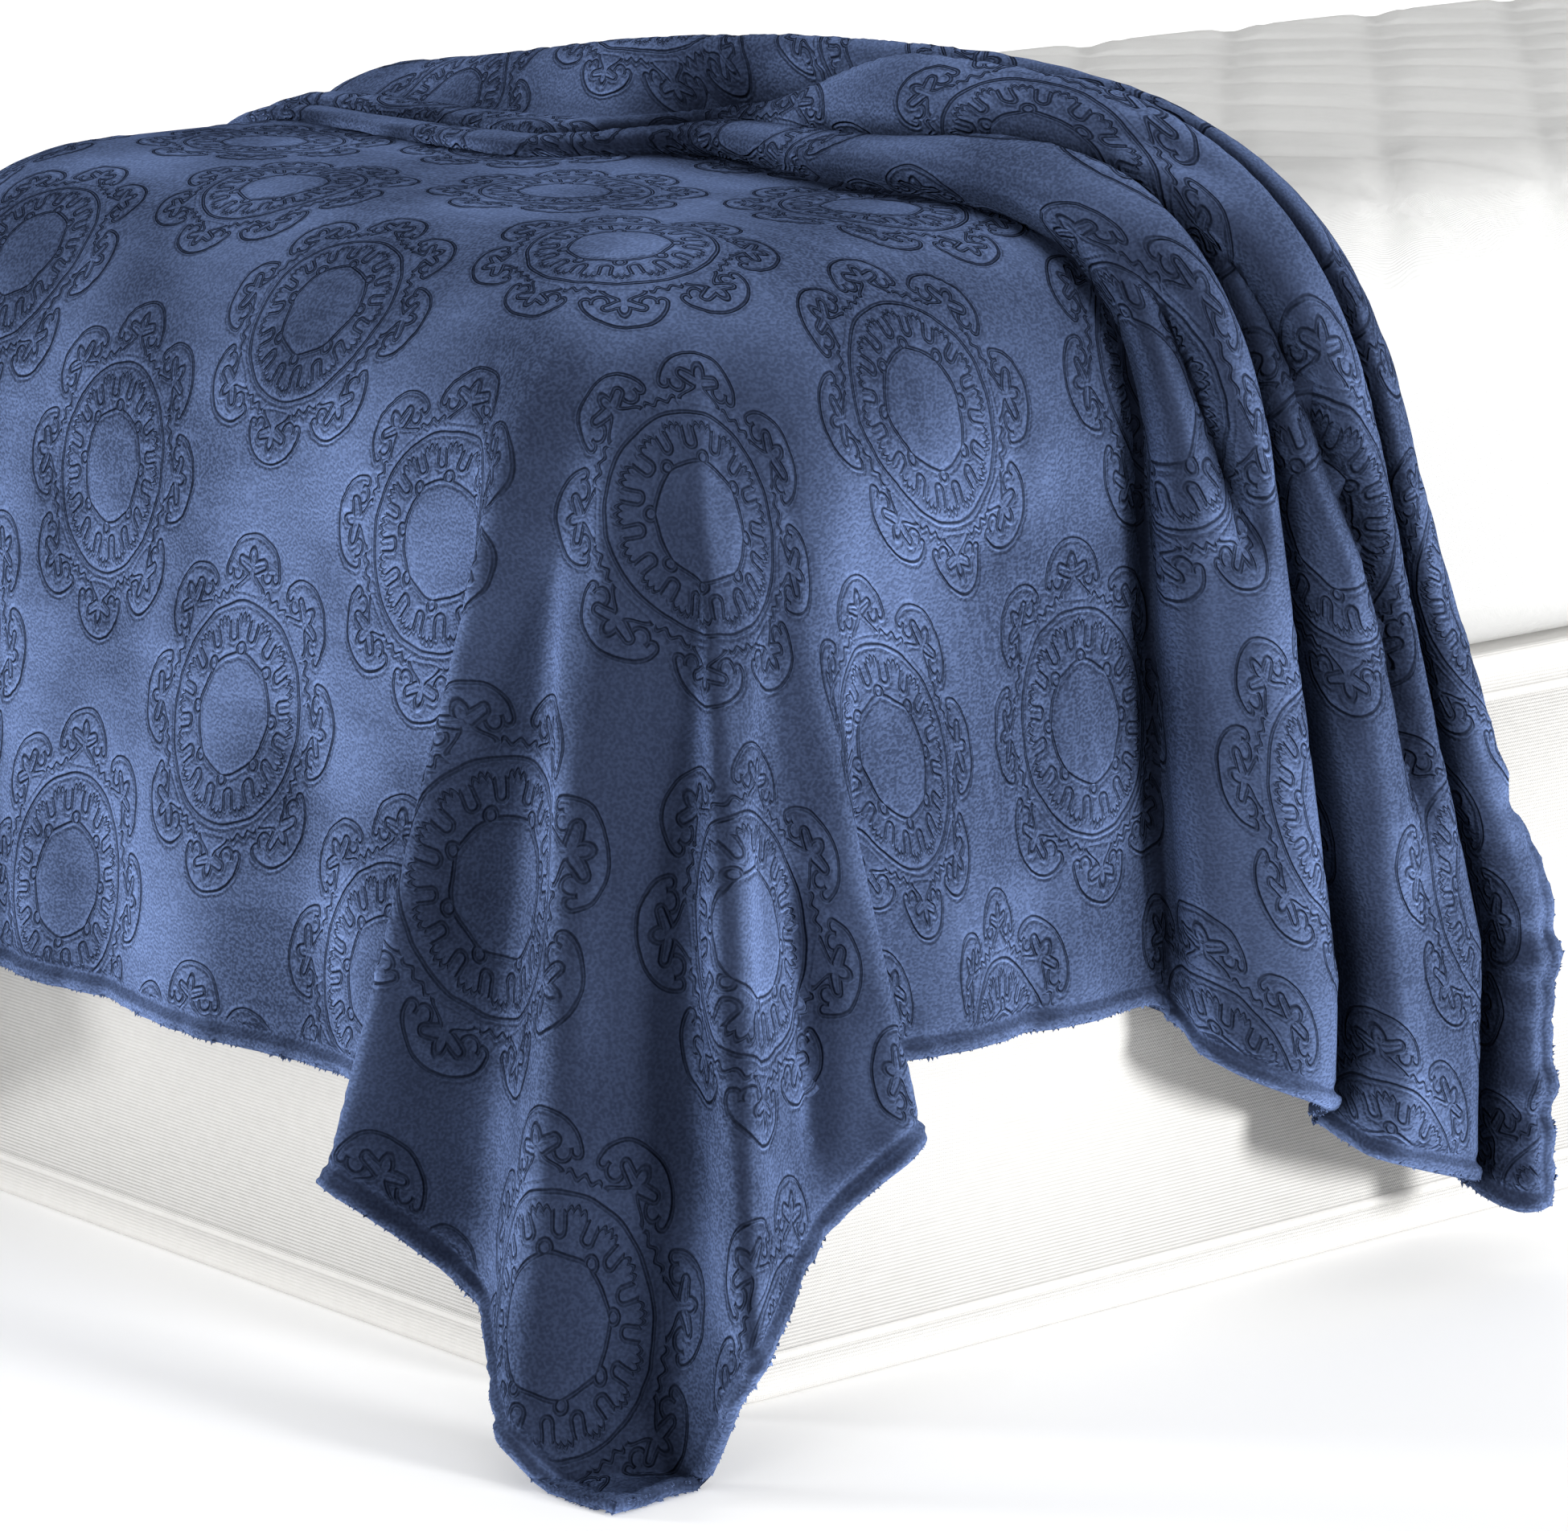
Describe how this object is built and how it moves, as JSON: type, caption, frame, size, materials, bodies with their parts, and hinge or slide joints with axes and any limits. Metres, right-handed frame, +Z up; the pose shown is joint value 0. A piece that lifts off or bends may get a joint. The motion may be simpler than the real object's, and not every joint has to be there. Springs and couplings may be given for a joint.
{
  "type": "plush blanket draped over a bed",
  "caption": "Embossed plush throw draped over the foot of a plain single bed, its head end gathered across the mattress and trailing down the near side to the floor.",
  "frame": {"origin": "middle of the bed base's floor face", "axes": "+X along the bed from foot to head, +Y across it from the near side to the far side, +Z up"},
  "size_m": [2.1333, 1.1369, 0.8196],
  "materials": {
    "plush": "deep velvety pile",
    "mattress_cover": "matt knitted ticking",
    "base_cover": "matt plain weave"
  },
  "bodies": {
    "root": {"blanket": "plush", "mattress": "mattress_cover", "bed_base": "base_cover"}
  },
  "joints": []
}
